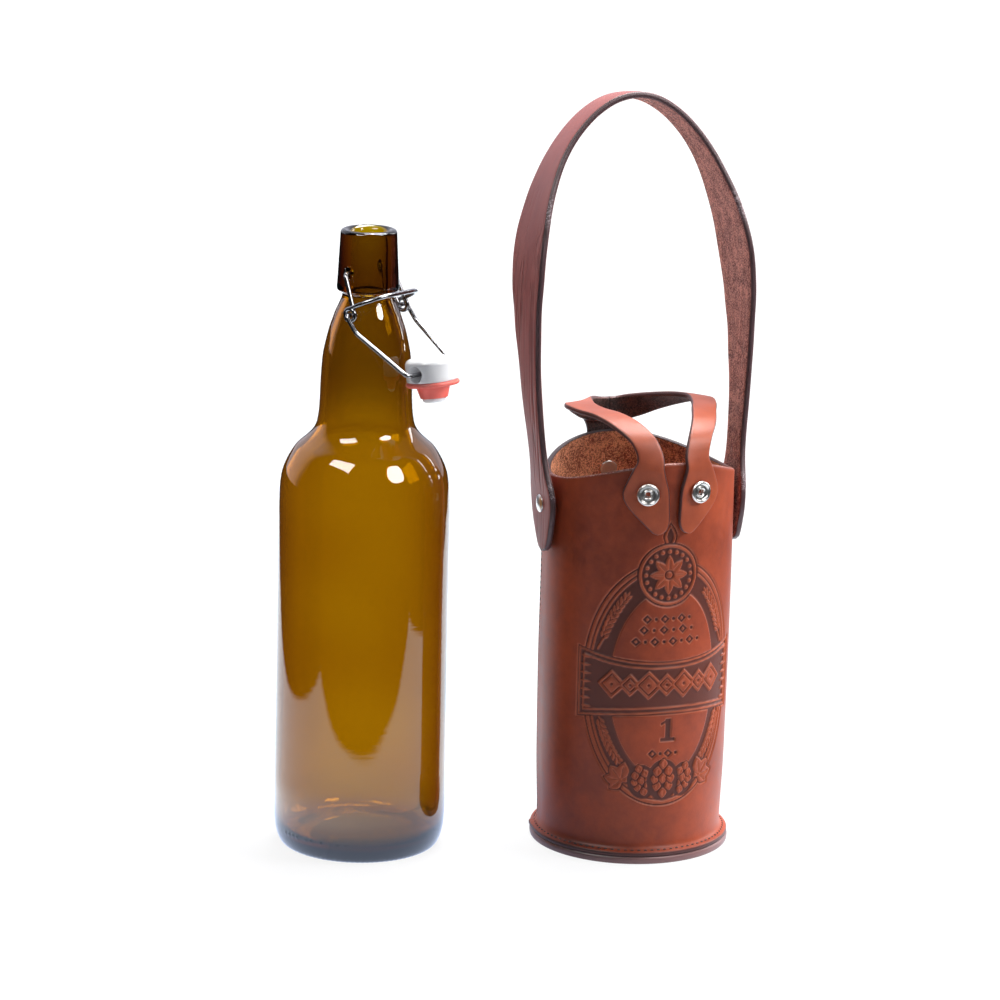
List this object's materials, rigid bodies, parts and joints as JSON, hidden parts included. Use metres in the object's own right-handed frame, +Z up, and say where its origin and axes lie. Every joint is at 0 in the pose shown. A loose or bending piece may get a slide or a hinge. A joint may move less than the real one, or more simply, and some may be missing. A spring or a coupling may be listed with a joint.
{
  "type": "swing-top bottle with leather carrier",
  "caption": "Empty amber glass swing-top bottle with wire closure and ceramic stopper, beside its open tube-shaped leather carrier with a bent carrying handle and a forked neck strap.",
  "frame": {"origin": "centre of the underside of the leather carrier's sole, on the surface that both pieces stand on", "axes": "+Z up; the carrier's front faces -Y and its handle rivets lie along X; the bottle stands on the -X side"},
  "size_m": [0.2419, 0.1225, 0.3869],
  "materials": {
    "glass": "clear amber, glossy",
    "wire": "plated steel wire",
    "stopper": "glazed white ceramic",
    "seal": "soft red rubber",
    "carrier_leather": "vegetable-tanned, waxed grain side",
    "strap_leather": "vegetable-tanned, waxed grain side",
    "sole_leather": "burnished dark edge",
    "nickel": "bright nickel"
  },
  "bodies": {
    "stand": {"carrier_body": "carrier_leather", "carrier_sole": "sole_leather", "neck_strap": "strap_leather", "rivet_left": "nickel", "rivet_right": "nickel", "rivet_back": "nickel", "snap_left": "nickel", "snap_right": "nickel", "bottle_glass": "glass"},
    "handle": {"handle_strap": "strap_leather"},
    "lever": {"closure_lever": "wire"},
    "bail": {"closure_bail": "wire"},
    "stopper": {"stopper_knob": "stopper", "stopper_washer": "seal"}
  },
  "joints": [
    {"name": "handle_swing", "type": "hinge", "parent": "stand", "child": "handle", "pos_m": [0, 0, 0.1804], "axis": [1, 0, 0], "range_deg": [-70, 90]},
    {"name": "lever_swing", "type": "hinge", "parent": "stand", "child": "lever", "pos_m": [-0.13893, 0.02575, 0.2993], "axis": [-0.849, -0.5284, 0], "range_deg": [-2, 50]},
    {"name": "bail_swing", "type": "hinge", "parent": "lever", "child": "bail", "pos_m": [-0.13582, 0.02074, 0.2798], "axis": [-0.849, -0.5284, 0], "range_deg": [-3, 58]},
    {"name": "stopper_turn", "type": "hinge", "parent": "bail", "child": "stopper", "pos_m": [-0.11632, -0.01059, 0.2539], "axis": [-0.849, -0.5284, 0], "range_deg": [-60, 20]}
  ]
}
